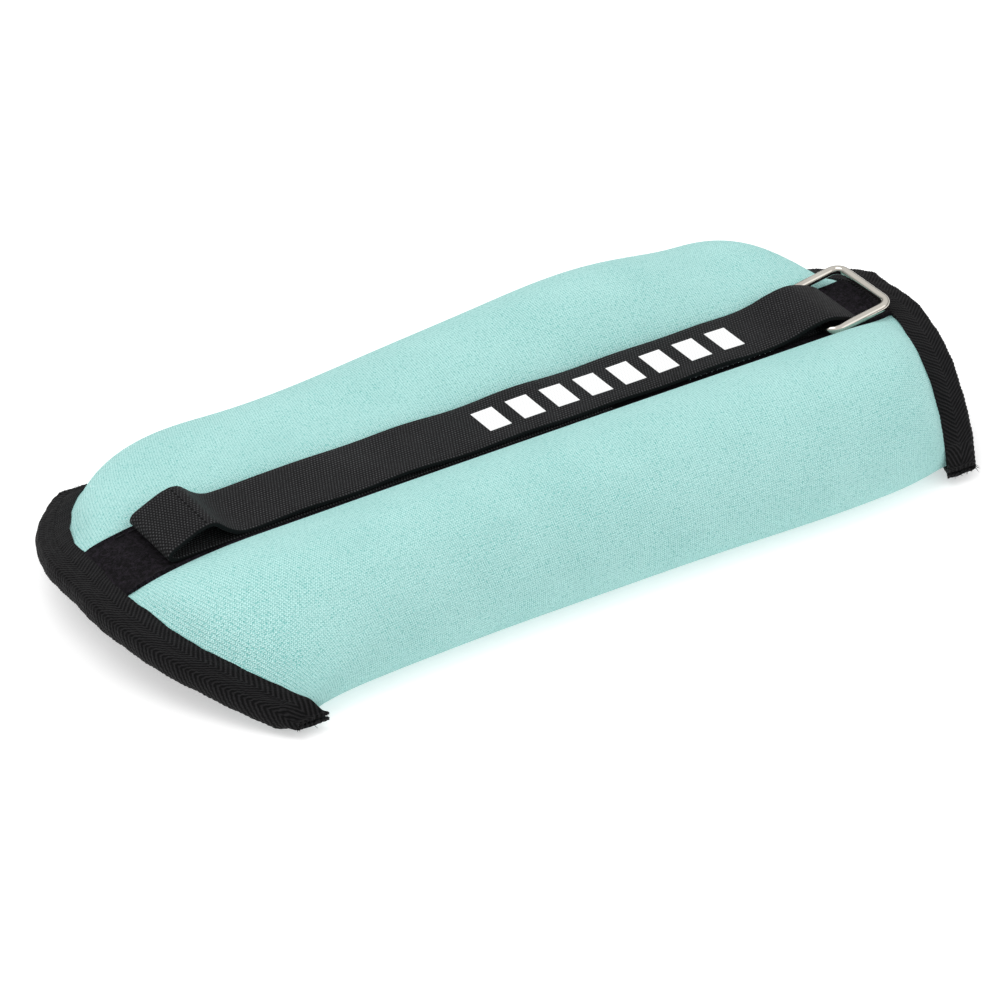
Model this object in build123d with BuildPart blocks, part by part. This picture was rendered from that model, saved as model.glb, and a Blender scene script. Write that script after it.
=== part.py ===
"""Ankle cuff weight, lying flat with its skin side down.

X runs along the cuff from the strap's fold to the ring, Y runs across it and Z is up.
The origin is on the surface that the cuff lies on, under the middle of its box.
The cuff bends at two fold lines between its sand bags, so every layer is cut there into thirds.
"""

from build123d import *
import math
import os

# ---------------------------------------------------------------- driving sizes, mm
half_length = 155.0  # middle of the cuff to the raw edge inside the binding, along the channel
half_width = 73.0  # middle of the cuff to the side of a lobe
crest_height = 42.0  # top of a filled lobe
valley_height = 26.0  # top of the cover under the strap
side_height = 15.0  # level of the widest point of a lobe
side_band = 4.0  # height of the flat stretch at that widest point
crest_place = 42.0  # middle of the cuff to the top of a lobe
flat_half = 54.0  # half of the width that lies flat on the surface
channel_half = 14.0  # half of the flat floor of the channel between the lobes

left_setback = 32.0  # how far the corners stand back from the end of the channel
left_edge_height = 19.0  # level of the raw edge at the channel
left_slope = 46.0  # length over which a lobe rises from the left raw edge
right_setback = 24.0
right_edge_height = 25.0
right_slope = 32.0
edge_half = 2.8  # half the thickness of the raw edge, cover and lining together
shoulder_run = 0.45  # share of a slope's length at its one bend
shoulder_rise = 0.65  # share of its height there

cover_thickness = 3.0  # neoprene
lining_thickness = 2.4
lining_half = 56.0  # half the width of the lining panel on the skin side
cavity_end_gap = 14.0  # raw edge to the end of the filled space
cavity_end_half = 1.0  # half the height of the filled space at its ends
cavity_sink = 0.5  # how far the filled space reaches below the lining's upper face
bag_clearance = 0.4
bag_thickness = 0.8
bag_end_clearance = 5.0  # end of the filled space to the end of a sand bag

fold_line = 52.0  # middle of the cuff to the fold line between two sand bags
fold_gap = 0.3  # gap between the thirds at a fold line
bag_fold_gap = 5.0  # sand bag end to the fold line

tape_width = 27.0  # loop tape along the channel
tape_thickness = 1.3
strap_width = 25.0
strap_thickness = 1.6
sewn_gap = 0.05  # between layers sewn to each other
free_gap = 0.4  # between layers that come apart
anchor_from = -14.0  # stretch of the strap that is sewn down in the channel
anchor_to = 34.0
strap_fold = -127.0  # place of the strap's fold
fold_radius = 1.0  # inside of the fold
hook_length = 34.0
hook_thickness = 1.0
hook_gap = 2.0  # hook patch to the sewn end of the ring's webbing loop
print_height = 12.0  # plain white bars printed on the strap
print_width = 8.0
print_pitch = 13.0
print_left_gap = 9.0  # right fold line to the middle of the nearest bar on each side
print_right_gap = 13.0
print_left_count = 5
print_right_count = 3
print_thickness = 0.1

wire_radius = 1.5
ring_length = 24.0  # between the middles of the ring's two cross bars
ring_clearance = 0.3  # strap edge to a side bar
ring_corner = 4.0
ring_bar = 120.0  # place of the held cross bar
ring_tilt = 9.0  # degrees that the ring's free bar stands up
pivot_clearance = 0.08  # between the wire and its webbing loop
holder_thickness = 1.2
holder_side_gap = 0.8  # webbing loop to the start of the ring's corners
holder_tail = 20.0  # sewn length of the holder
crest_run = 4.0  # half of the strap's level stretch over the held bar
crest_rise = 8.0  # length over which the strap rises to it
tail_reach = 12.5  # held bar to the end of the strap
tail_lift = 1.0  # channel tape to the underside of the strap's end

binding_depth = 12.0  # how far the binding reaches in from the raw edge
binding_thickness = 1.3
binding_past_corner = 3.0
corner_lift = 0.5  # surface that the cuff lies on to the lowest point of a binding

thread = 0.5
stitch_length = 3.0
stitch_pitch = 4.5
stitch_inset = 2.5  # stitch row to the edge of the layer it holds
tape_stitch_inset = 0.1  # stitch row to the edge of the channel tape

# ---------------------------------------------------------------- sizes that follow
tape_top = valley_height + tape_thickness
strap_low = tape_top + sewn_gap
fold_centre = strap_low + strap_thickness + fold_radius
strap_high = fold_centre + fold_radius
peel_height = strap_high + strap_thickness + free_gap / 2
ring_width = strap_width + 2 * (ring_clearance + wire_radius)
holder_hole = wire_radius + pivot_clearance
holder_radius = holder_hole + holder_thickness
holder_width = ring_width - 2 * (ring_corner + holder_side_gap)
ring_height = tape_top + sewn_gap + holder_radius
corner_place = half_width + binding_past_corner
corner_height = corner_lift + binding_thickness + edge_half
far_away = 400.0


# ---------------------------------------------------------------- shape of the filled cuff
def raw_edge(side, y):
    """Place and level of the middle of the raw edge at a distance y across the cuff."""
    share = (max(0.0, abs(y) - channel_half) / (corner_place - channel_half)) ** 2
    if side < 0:
        drop = left_edge_height - corner_height
        return -half_length + left_setback * share, left_edge_height - drop * share
    drop = right_edge_height - corner_height
    return half_length - right_setback * share, right_edge_height - drop * share


def crown(y, skin):
    """Height of the cuff's top at mid length, with a layer of the given thickness peeled off."""
    away = abs(y)
    if away <= channel_half:
        return valley_height - skin
    if away <= crest_place:
        turn = math.pi * (away - channel_half) / (crest_place - channel_half)
        return valley_height - skin + (crest_height - valley_height) * (1 - math.cos(turn)) / 2
    share = min(1.0, (away - crest_place) / (half_width - skin - crest_place))
    low = side_height + side_band / 2
    return low + (crest_height - skin - low) * math.sqrt(1 - share**2)


def belly(y, skin):
    """Height of the cuff's underside at mid length."""
    away = abs(y)
    if away <= flat_half:
        return skin
    share = min(1.0, (away - flat_half) / (half_width - skin - flat_half))
    high = side_height - side_band / 2
    return high - (high - skin) * math.sqrt(1 - share**2)


def slope_points(side, y, end_gap, edge_level, full_level, lift=0.0, shares=(0.0, shoulder_run, 1.0)):
    """Points of a lengthwise line from a raw edge to where the cuff has its full thickness."""
    x_edge, _ = raw_edge(side, y)
    slope = (left_slope if side < 0 else right_slope) - end_gap
    points = []
    for share in shares:
        rise = share * shoulder_rise / shoulder_run
        if share > shoulder_run:
            rise = 1 - (1 - share) * (1 - shoulder_rise) / (1 - shoulder_run)
        x = x_edge - side * (end_gap + slope * share)
        points.append((x, edge_level + (full_level - edge_level) * rise + lift))
    return points


def shares_from(side, end_gap, start):
    """Shares of a slope at which a line is drawn that starts a distance inside its end."""
    slope = (left_slope if side < 0 else right_slope) - end_gap
    return sorted({start / slope, max(start / slope, shoulder_run), 1.0})


def across(skin):
    """Distances across the cuff at which its lengthwise sections are drawn."""
    reach = half_width - skin - crest_place
    positive = [channel_half, crest_place]
    positive += [crest_place + reach * math.sin(math.radians(angle)) for angle in (30, 60, 90)]
    return [-y for y in reversed(positive)] + positive


def filled_form(skin=0.0, under_skin=0.0, end_gap=0.0, end_half=edge_half, start=0.0):
    """The cuff's whole outer form, or the form inside a skin, from a distance inside its ends."""
    left = shares_from(-1, end_gap, start)
    right = shares_from(1, end_gap, start)
    with BuildPart() as form:
        for y in across(skin):
            _, z_left = raw_edge(-1, y)
            _, z_right = raw_edge(1, y)
            high = crown(y, skin)
            low = belly(y, under_skin)
            top_left = slope_points(-1, y, end_gap, z_left + end_half, high, 0, left)
            top_right = slope_points(1, y, end_gap, z_right + end_half, high, 0, right)
            under_right = slope_points(1, y, end_gap, z_right - end_half, low, 0, right)
            under_left = slope_points(-1, y, end_gap, z_left - end_half, low, 0, left)
            with BuildSketch(Plane.XZ.offset(-y)):
                with BuildLine():
                    Polyline(*top_left, *reversed(top_right), *under_right, *reversed(under_left),
                             close=True)
                make_face()
        loft(ruled=True)
    return form.part


def under_layer(rise):
    """Everything below a surface that stands a little above the cuff's underside."""
    with BuildPart() as layer:
        for y in across(0):
            _, z_left = raw_edge(-1, y)
            _, z_right = raw_edge(1, y)
            low = belly(y, 0)
            left = slope_points(-1, y, 0, z_left - edge_half, low, rise)
            right = slope_points(1, y, 0, z_right - edge_half, low, rise)
            with BuildSketch(Plane.XZ.offset(-y)):
                with BuildLine():
                    Polyline(*left, *reversed(right), (right[0][0], -far_away),
                             (left[0][0], -far_away), close=True)
                make_face()
        loft(ruled=True)
    return layer.part


def keep_between(x_from, x_to):
    """Cuts the part in the calling block to the stretch between two places along the cuff."""
    with Locations(((x_from + x_to) / 2, 0, 0)):
        Box(x_to - x_from, far_away, far_away, mode=Mode.INTERSECT)


def write(piece, name):
    """Labels one finished piece and writes it as its own file."""
    piece.part.label = name
    export_step(piece.part, f"parts/{name}.step")


os.makedirs("parts", exist_ok=True)
thirds = {
    "left": (-far_away / 2, -fold_line - fold_gap / 2),
    "middle": (-fold_line + fold_gap / 2, fold_line - fold_gap / 2),
    "right": (fold_line + fold_gap / 2, far_away / 2),
}

# ---------------------------------------------------------------- cover and lining
outer = filled_form()

with BuildPart() as skin_side:
    add(under_layer(lining_thickness))
    Box(far_away, 2 * lining_half, far_away, mode=Mode.INTERSECT)

with BuildPart() as cavity:
    add(filled_form(cover_thickness, lining_thickness - cavity_sink, cavity_end_gap, cavity_end_half))
    add(skin_side.part, mode=Mode.SUBTRACT)

with BuildPart() as lining:
    add(outer)
    add(skin_side.part, mode=Mode.INTERSECT)

with BuildPart() as cover:
    add(outer)
    add(skin_side.part, mode=Mode.SUBTRACT)
    add(cavity.part, mode=Mode.SUBTRACT)

for third, limits in thirds.items():
    with BuildPart() as piece:
        add(cover.part)
        keep_between(*limits)
    write(piece, f"neoprene_cover_{third}")
    with BuildPart() as piece:
        add(lining.part)
        keep_between(*limits)
    write(piece, f"lining_{third}")

# ---------------------------------------------------------------- sand bags and their fill
bag_skin = cover_thickness + bag_clearance
sand_skin = bag_skin + bag_thickness
with BuildPart() as bag_form:
    add(filled_form(bag_skin, lining_thickness, cavity_end_gap, cavity_end_half - bag_clearance,
                    bag_end_clearance))
    add(under_layer(lining_thickness + bag_clearance), mode=Mode.SUBTRACT)

with BuildPart() as sand_form:
    add(filled_form(sand_skin, lining_thickness, cavity_end_gap,
                    cavity_end_half - bag_clearance - bag_thickness,
                    bag_end_clearance + bag_thickness))
    add(under_layer(lining_thickness + bag_clearance + bag_thickness), mode=Mode.SUBTRACT)

for third, limits in thirds.items():
    x_from = limits[0] + bag_fold_gap
    x_to = limits[1] - bag_fold_gap
    with BuildPart() as sand:
        add(sand_form.part)
        keep_between(x_from + bag_thickness, x_to - bag_thickness)
        with Locations((0, bag_clearance + bag_thickness, 0)):
            Box(far_away, far_away, far_away, align=(Align.CENTER, Align.MIN, Align.CENTER),
                mode=Mode.INTERSECT)
    with BuildPart() as bag:
        add(bag_form.part)
        keep_between(x_from, x_to)
        with Locations((0, bag_clearance, 0)):
            Box(far_away, far_away, far_away, align=(Align.CENTER, Align.MIN, Align.CENTER),
                mode=Mode.INTERSECT)
        add(sand.part, mode=Mode.SUBTRACT)
    write(bag, f"sand_bag_{third}_far")
    write(sand, f"iron_sand_{third}_far")
    for far_piece, name in ((bag, "sand_bag"), (sand, "iron_sand")):
        with BuildPart() as near_piece:
            mirror(far_piece.part, about=Plane.XZ)
        write(near_piece, f"{name}_{third}_near")

# ---------------------------------------------------------------- bindings on the two ends
for end, side in (("left", -1), ("right", 1)):
    reach = binding_depth / (left_slope if side < 0 else right_slope)
    shares = sorted({0.0, min(shoulder_run, reach), reach})
    with BuildPart() as binding:
        for y in [-corner_place] + across(0) + [corner_place]:
            x_edge, z_edge = raw_edge(side, y)
            x_out = x_edge + side * binding_thickness
            upper = slope_points(side, y, 0, z_edge + edge_half, crown(y, 0), binding_thickness, shares)
            lower = slope_points(side, y, 0, z_edge - edge_half, belly(y, 0), -binding_thickness, shares)
            with BuildSketch(Plane.XZ.offset(-y)):
                with BuildLine():
                    Polyline(*upper, *reversed(lower), (x_out, lower[0][1] + binding_thickness),
                             (x_out, upper[0][1] - binding_thickness), close=True)
                make_face()
        loft(ruled=True)
        add(outer, mode=Mode.SUBTRACT)
    write(binding, f"{end}_binding")

# ---------------------------------------------------------------- loop tape along the channel
_, left_end_level = raw_edge(-1, 0)
_, right_end_level = raw_edge(1, 0)
channel_line = slope_points(-1, 0, 0, left_end_level + edge_half, valley_height)
channel_line += reversed(slope_points(1, 0, 0, right_end_level + edge_half, valley_height))
tape_end = half_length - binding_depth - free_gap

with BuildPart() as channel_tape:
    with BuildSketch(Plane.XZ):
        with BuildLine():
            Polyline(*channel_line, *[(x, z + tape_thickness) for x, z in reversed(channel_line)],
                     close=True)
        make_face()
    extrude(amount=tape_width / 2, both=True)
    keep_between(-tape_end, tape_end)

for third, limits in thirds.items():
    with BuildPart() as piece:
        add(channel_tape.part)
        keep_between(*limits)
    write(piece, f"channel_tape_{third}")

# ---------------------------------------------------------------- strap under its fold
with BuildPart() as strap_under:
    with BuildSketch(Plane.XZ):
        with Locations((strap_fold, fold_centre)):
            Circle(fold_radius + strap_thickness)
            Circle(fold_radius, mode=Mode.SUBTRACT)
            Rectangle(far_away, far_away, align=(Align.MIN, Align.CENTER), mode=Mode.SUBTRACT)
        with Locations((strap_fold, strap_low)):
            Rectangle(anchor_to - strap_fold, strap_thickness, align=(Align.MIN, Align.MIN))
    extrude(amount=strap_width / 2, both=True)

for third in ("left", "middle"):
    with BuildPart() as piece:
        add(strap_under.part)
        keep_between(*thirds[third])
    write(piece, f"strap_under_{third}")

# ---------------------------------------------------------------- strap over its fold
crest_level = ring_height + holder_radius + free_gap
strap_line = [
    (strap_fold + free_gap, strap_high),
    (ring_bar - crest_run - crest_rise, strap_high),
    (ring_bar - crest_run, crest_level),
    (ring_bar + crest_run, crest_level),
    (ring_bar + tail_reach, tape_top + tail_lift),
]
with BuildPart() as strap_top:
    with BuildSketch(Plane.XZ):
        with BuildLine():
            Polyline(*strap_line, *[(x, z + strap_thickness) for x, z in reversed(strap_line)],
                     close=True)
        make_face()
    extrude(amount=strap_width / 2, both=True)

for third, limits in thirds.items():
    with BuildPart() as piece:
        add(strap_top.part)
        keep_between(*limits)
    write(piece, f"strap_top_{third}")

hook_end = ring_bar - holder_tail - hook_gap
with BuildPart() as hook_patch:
    with Locations((hook_end, 0, strap_high - sewn_gap)):
        Box(hook_length, strap_width, hook_thickness, align=(Align.MAX, Align.CENTER, Align.MAX))
write(hook_patch, "hook_patch")

print_rows = {
    "middle": (fold_line - print_left_gap, -print_pitch, print_left_count),
    "right": (fold_line + print_right_gap, print_pitch, print_right_count),
}
for third, (first, step, count) in print_rows.items():
    with BuildPart() as strap_print:
        for number in range(count):
            with Locations((first + step * number, 0, strap_high + strap_thickness)):
                Box(print_width, print_height, print_thickness,
                    align=(Align.CENTER, Align.CENTER, Align.MIN))
    write(strap_print, f"strap_print_{third}")

# ---------------------------------------------------------------- wire ring and its webbing loop
ring_plane = Plane(
    origin=(ring_bar, 0, ring_height),
    x_dir=(math.cos(math.radians(ring_tilt)), 0, math.sin(math.radians(ring_tilt))),
    z_dir=(-math.sin(math.radians(ring_tilt)), 0, math.cos(math.radians(ring_tilt))),
)
ring_corners = [
    (ring_length, -ring_width / 2),
    (ring_length, ring_width / 2),
    (0, ring_width / 2),
    (0, -ring_width / 2),
]
with BuildPart() as ring:
    with BuildLine(ring_plane) as ring_path:
        FilletPolyline(*ring_corners, radius=ring_corner, close=True)
    with BuildSketch(ring_path.line ^ 0):
        Circle(wire_radius)
    sweep(path=ring_path.line)
write(ring, "ring")

with BuildPart() as ring_holder:
    with BuildSketch(Plane.XZ):
        with Locations((ring_bar, ring_height)):
            Circle(holder_radius)
        with Locations((ring_bar, tape_top + sewn_gap)):
            Rectangle(holder_tail, 2 * holder_thickness, align=(Align.MAX, Align.MIN))
        with Locations((ring_bar, ring_height)):
            Circle(holder_hole, mode=Mode.SUBTRACT)
    extrude(amount=holder_width / 2, both=True)
write(ring_holder, "ring_holder")


# ---------------------------------------------------------------- stitching
def stitch_places(start, end):
    """Middles of the stitches in a straight row from start to end."""
    count = max(1, int((end - start - stitch_length) / stitch_pitch))
    spare = (end - start) - count * stitch_pitch
    return [start + spare / 2 + stitch_pitch * number for number in range(count + 1)]


def add_stitches(places, turn=0.0):
    """Adds a thread, lying at each place, to the part in the calling block."""
    with Locations(*[Location(place, (0, 0, turn)) for place in places]):
        Box(stitch_length, thread, thread, align=(Align.CENTER, Align.CENTER, Align.MIN))


box_side = strap_width / 2 - stitch_inset
anchor_top = strap_low + strap_thickness
with BuildPart() as anchor_stitching:
    rows = stitch_places(anchor_from, anchor_to - stitch_inset)
    add_stitches([(x, side * box_side, anchor_top) for x in rows for side in (-1, 1)])
    columns = stitch_places(-box_side, box_side)
    ends = (anchor_from, anchor_to - stitch_inset)
    add_stitches([(x, y, anchor_top) for x in ends for y in columns], 90)
write(anchor_stitching, "anchor_stitching")

holder_top = tape_top + sewn_gap + 2 * holder_thickness
with BuildPart() as holder_stitching:
    columns = stitch_places(-holder_width / 2, holder_width / 2)
    first_row = ring_bar - holder_tail + stitch_inset
    add_stitches([(first_row, y, holder_top) for y in columns], 90)
    add_stitches([(ring_bar - 2 * holder_radius, y, holder_top) for y in columns], 90)
write(holder_stitching, "holder_stitching")

for third, limits in thirds.items():
    start = max(limits[0], -half_length + left_slope) + stitch_inset
    end = min(limits[1], half_length - right_slope) - stitch_inset
    row = tape_width / 2 - tape_stitch_inset - thread / 2
    with BuildPart() as channel_stitching:
        places = [(x, side * row, tape_top) for x in stitch_places(start, end) for side in (-1, 1)]
        add_stitches(places)
    write(channel_stitching, f"channel_stitching_{third}")
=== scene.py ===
import math
import random

import bpy
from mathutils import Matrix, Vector


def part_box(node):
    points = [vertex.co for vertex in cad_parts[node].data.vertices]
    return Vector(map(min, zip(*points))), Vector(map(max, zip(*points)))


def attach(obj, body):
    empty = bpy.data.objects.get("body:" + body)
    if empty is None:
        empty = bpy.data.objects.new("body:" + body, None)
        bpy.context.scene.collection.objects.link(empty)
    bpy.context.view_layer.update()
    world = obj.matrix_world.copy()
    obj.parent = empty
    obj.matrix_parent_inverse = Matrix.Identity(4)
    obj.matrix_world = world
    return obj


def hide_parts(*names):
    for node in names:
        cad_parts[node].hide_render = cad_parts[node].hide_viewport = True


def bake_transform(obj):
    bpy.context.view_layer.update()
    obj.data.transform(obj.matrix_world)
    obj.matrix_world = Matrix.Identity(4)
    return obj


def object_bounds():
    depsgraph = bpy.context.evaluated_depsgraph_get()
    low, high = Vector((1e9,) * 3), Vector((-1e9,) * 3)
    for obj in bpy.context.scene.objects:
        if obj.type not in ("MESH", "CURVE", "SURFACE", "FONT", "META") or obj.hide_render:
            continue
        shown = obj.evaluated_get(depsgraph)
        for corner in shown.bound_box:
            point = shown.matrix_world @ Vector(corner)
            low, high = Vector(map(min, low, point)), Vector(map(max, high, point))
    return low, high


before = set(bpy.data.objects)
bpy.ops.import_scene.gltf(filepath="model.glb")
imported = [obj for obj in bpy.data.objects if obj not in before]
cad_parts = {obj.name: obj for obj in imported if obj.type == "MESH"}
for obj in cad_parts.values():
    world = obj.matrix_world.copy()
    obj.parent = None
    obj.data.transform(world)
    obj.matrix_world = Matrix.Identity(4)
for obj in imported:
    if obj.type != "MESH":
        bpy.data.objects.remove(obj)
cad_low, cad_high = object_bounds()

# ---------------------------------------------------------------------------------------------
# Neoprene cover. A 3 mm foam sheet with a mint jersey face on top, sewn into a sleeve with two
# fat lobes and a channel between them. Here it is cut at mid length into a left and a right half.
# ---------------------------------------------------------------------------------------------
MM = 0.001
half_length = (cad_high.x - cad_low.x) / 2 - 1.3 * MM
channel_half = 12.4 * MM
edge_half = 2.4 * MM
ends = {
    -1: {"setback": 32 * MM, "level": 20 * MM, "slope": 46 * MM, "near": 77.0 * MM, "far": 69.8 * MM},
    1: {"setback": 20.5 * MM, "level": 26.5 * MM, "slope": 25 * MM, "near": 72.0 * MM, "far": 65.5 * MM},
}
straight_half = 10 * MM
corner_level = 4.4 * MM
flat_run = 11.0 * MM
half_section = [
    (0, 26.0), (7, 26.0), (12.2, 26.2), (14.4, 29.2), (19, 33.0), (26, 36.8), (34, 39.8), (43, 41.0),
    (52, 39.2), (59.5, 34.8), (65.5, 27.8), (69.6, 19.5), (71.2, 11.0), (69.6, 4.6), (64.5, 1.3), (56, 0.6),
    (44, 0.6), (30, 0.6), (14, 0.6), (0, 0.6),
]
widest_number = 12
widest = widest_number / (len(half_section) - 1)
widest_y, widest_z = half_section[widest_number]
corner_inset = 3 * MM
lobe_spread = 20 * MM
gather = 0.92
seam_turn = 24


def mixed(points, share):
    """A place on a smooth curve through evenly spaced points."""
    place = share * (len(points) - 1)
    first = min(int(place), len(points) - 2)
    t = place - first
    p = [points[min(max(first + step, 0), len(points) - 1)] for step in (-1, 0, 1, 2)]
    return tuple(
        0.5 * (2 * b + (c - a) * t + (2 * a - 5 * b + 4 * c - d) * t**2 + (3 * b - a - 3 * c + d) * t**3)
        for a, b, c, d in zip(*p)
    )


def corner_at(side, y):
    """Distance across the cuff from its middle to the corner on y's side."""
    return ends[side]["near" if y < 0 else "far"]


def edge_at(side, y):
    """Place and level of the raw edge's middle at a distance y across the cuff."""
    end = ends[side]
    share = max(0.0, abs(y) - straight_half) / (corner_at(side, y) - straight_half)
    x = side * (half_length - end["setback"] * share**1.8)
    fall = 1.1 if side > 0 and y > 0 else 1.45
    return x, end["level"] - (end["level"] - corner_level) * min(1.0, share) ** fall


def rise_at(side, x, y):
    """Share of its full height that the cuff has at a place, from 0 at the raw edge to 1."""
    x_edge, _ = edge_at(side, y)
    run = (x_edge - x) * side
    share = min(1.0, max(0.0, (run - flat_run) / ends[side]["slope"]))
    return (1 - (1 - share) ** 2.4) ** (0.72 if side < 0 else 0.60)


def bump_at(x, middle, reach):
    """A smooth hump along the cuff, 1 at its middle."""
    return math.exp(-(((x / MM - middle) / reach) ** 2))


def lobe_swell(x, y):
    """How much the sand swells a lobe at a place along the cuff, for its width and its height."""
    if y < 0:
        wide = 0.995 + 0.042 * bump_at(x, 88, 48) - 0.010 * bump_at(x, -45, 32)
        high = 1 + 0.020 * bump_at(x, 50, 50) - 0.05 * bump_at(x, -100, 40)
    else:
        wide = 0.995 - 0.045 * bump_at(x, -70, 60) + 0.01 * bump_at(x, 62, 32)
        high = 0.955 - 0.165 * bump_at(x, -66, 68) + 0.06 * bump_at(x, 58, 32) - 0.07 * bump_at(x, 108, 22)
    return wide, high


def pinched(side, y_full):
    """Distance across the cuff, at the raw edge, of a point from its place in the full section."""
    lobe = min(1.0, max(0.0, (abs(y_full) - channel_half) / lobe_spread))
    return y_full * (1 + ((corner_at(side, y_full) - corner_inset) / (widest_y * MM) - 1) * lobe)


def cover_point(x, y_full, z_full, above):
    """A point of the cover from its place in the full section, above its widest line or below."""
    side = -1 if x < 0 else 1
    wide, high = lobe_swell(x, y_full)
    lobe = min(1.0, max(0.0, (abs(y_full) - channel_half) / lobe_spread))
    y_end = pinched(side, y_full)
    rise = rise_at(side, x, y_end)
    y = y_full * (1 + (wide - 1) * lobe) * rise + y_end * (1 - rise)
    z = z_full * (1 + (high - 1) * lobe)
    _, level = edge_at(side, y_end)
    level += edge_half * above
    return Vector((x, y, level + (z - level) * rise))


def cover_height(x, y, low, high, above):
    """Height of the cover over or under a place, on the part of the section between two shares."""
    sign = -1 if y < 0 else 1
    inner, outer = (low, high) if above > 0 else (high, low)
    for _ in range(15):
        middle = (inner + outer) / 2
        y_full, z_full = mixed(half_section, middle)
        point = cover_point(x, sign * y_full * MM, z_full * MM, above)
        if abs(point.y) < abs(y):
            inner = middle
        else:
            outer = middle
    return point.z


def cover_top(x, y):
    return cover_height(x, y, 0.0, widest, 1)


def cover_under(x, y):
    return cover_height(x, y, widest, 1.0, -1)


def sheet_from(name, along, across, place, size):
    """A grid of quads whose corners are put in place, with its UV map in metres of cloth."""
    bpy.ops.object.select_all(action="DESELECT")
    bpy.ops.mesh.primitive_grid_add(x_subdivisions=along, y_subdivisions=across, size=2)
    obj = bpy.context.object
    obj.name = name
    for vertex in obj.data.vertices:
        vertex.co = place((vertex.co.x + 1) / 2, (vertex.co.y + 1) / 2)
    for corner in obj.data.uv_layers[0].data:
        corner.uv = (corner.uv[0] * size[0], corner.uv[1] * size[1])
    return obj


def cleaned(obj, merge=0.01 * MM):
    """Welds what meets and turns every face outwards."""
    bpy.ops.object.mode_set(mode="EDIT")
    bpy.ops.mesh.select_all(action="SELECT")
    bpy.ops.mesh.remove_doubles(threshold=merge)
    bpy.ops.mesh.normals_make_consistent(inside=False)
    bpy.ops.object.mode_set(mode="OBJECT")
    return obj


def finished(obj, angle=40):
    """Applies every modifier and smooths the shading up to an angle."""
    bpy.ops.object.select_all(action="DESELECT")
    obj.select_set(True)
    bpy.context.view_layer.objects.active = obj
    for modifier in list(obj.modifiers):
        bpy.ops.object.modifier_apply(modifier=modifier.name)
    bpy.ops.object.shade_smooth_by_angle(angle=math.radians(angle))
    return obj


def subdivided(obj, levels=1):
    modifier = obj.modifiers.new("finer", "SUBSURF")
    modifier.levels = levels
    modifier.render_levels = levels
    return obj


def cover_place(along, around):
    side = -1 if along < 0.5 else 1
    share = abs(along - 0.5) * 2
    half = abs(around - 0.5) * 2
    y, z = mixed(half_section, 1 - half)
    sign = 1 if around > 0.5 else -1
    y_full = sign * y * MM
    x_edge, _ = edge_at(side, pinched(side, y_full))
    above = min(1.0, max(-1.0, (widest - 1 + half) * seam_turn))
    return cover_point(x_edge * share**gather, y_full, z * MM, above)


cover = sheet_from("cover", 76, 92, cover_place, (1, 1))
section_steps = 200
section_points = [mixed(half_section, number / section_steps) for number in range(section_steps + 1)]
section_run = [0.0]
for before, after in zip(section_points, section_points[1:]):
    section_run.append(section_run[-1] + math.dist(before, after))
for corner in cover.data.uv_layers[0].data:
    along, around = (corner.uv[0] - 0.5) * 2, (corner.uv[1] - 0.5) * 2
    along = math.copysign(abs(along) ** gather, along) * half_length
    around = math.copysign(section_run[round((1 - abs(around)) * section_steps)] * MM, around)
    corner.uv = (along, around)
cleaned(cover)

# The sand presses the cover out: a short cloth simulation under pressure, held along the channel,
# at both ends and where the cuff lies on the surface.
sewn = cover.vertex_groups.new(name="sewn")
for vertex in cover.data.vertices:
    x, y, z = vertex.co
    side = -1 if x < 0 else 1
    from_end = (edge_at(side, y)[0] - x) * side
    held = max(1 - (from_end - 12 * MM) / (14 * MM), 1 - (abs(y) - 16 * MM) / (12 * MM), 0.0)
    if z < 1.2 * MM:
        held = 1.0
    sewn.add([vertex.index], min(1.0, held), "REPLACE")
at_rest = [vertex.co.copy() for vertex in cover.data.vertices]
last_frame = 20
cloth = cover.modifiers.new("cloth", "CLOTH")
cloth.settings.use_pressure = True
cloth.settings.uniform_pressure_force = 4
cloth.settings.quality = 6
cloth.settings.mass = 0.4
cloth.settings.tension_stiffness = 40
cloth.settings.compression_stiffness = 40
cloth.settings.bending_stiffness = 3
cloth.settings.vertex_group_mass = "sewn"
cloth.settings.effector_weights.gravity = 0
cloth.point_cache.frame_start = 1
cloth.point_cache.frame_end = last_frame
for number in range(1, last_frame + 1):
    bpy.context.scene.frame_set(number)
bpy.ops.object.select_all(action="DESELECT")
cover.select_set(True)
bpy.context.view_layer.objects.active = cover
bpy.ops.object.modifier_apply(modifier="cloth")
bpy.context.scene.frame_set(1)
furthest = 3.5 * MM
for vertex, rest in zip(cover.data.vertices, at_rest):
    move = vertex.co - rest
    if move.length > furthest:
        move = move.normalized() * furthest
    vertex.co = rest + move
    vertex.co.z = max(vertex.co.z, 0.0)

finished(subdivided(cover))


def pattern_group(name, count):
    """A new group that turns a place on the cloth into a height and a painted shade, with its two ends. The
    painted shade follows the relief: dark in the weave's hollows, light on its crowns.
    """
    group = bpy.data.node_groups.new(name, "ShaderNodeTree")
    for socket, kind, way in (
        ("Cloth", "NodeSocketVector", "INPUT"), (count, "NodeSocketFloat", "INPUT"),
        ("Height", "NodeSocketFloat", "OUTPUT"), ("Shade", "NodeSocketFloat", "OUTPUT"),
    ):
        group.interface.new_socket(name=socket, in_out=way, socket_type=kind)
    return group, group.nodes.new("NodeGroupInput").outputs, group.nodes.new("NodeGroupOutput").inputs


def node(tree, kind, inputs=None, **settings):
    """One shader node, with its settings and what feeds it."""
    made = tree.nodes.new(kind)
    for name, value in settings.items():
        setattr(made, name, value)
    for socket, value in (inputs or {}).items():
        if isinstance(value, bpy.types.NodeSocket):
            tree.links.new(value, made.inputs[socket])
        else:
            made.inputs[socket].default_value = value
    return made


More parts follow.
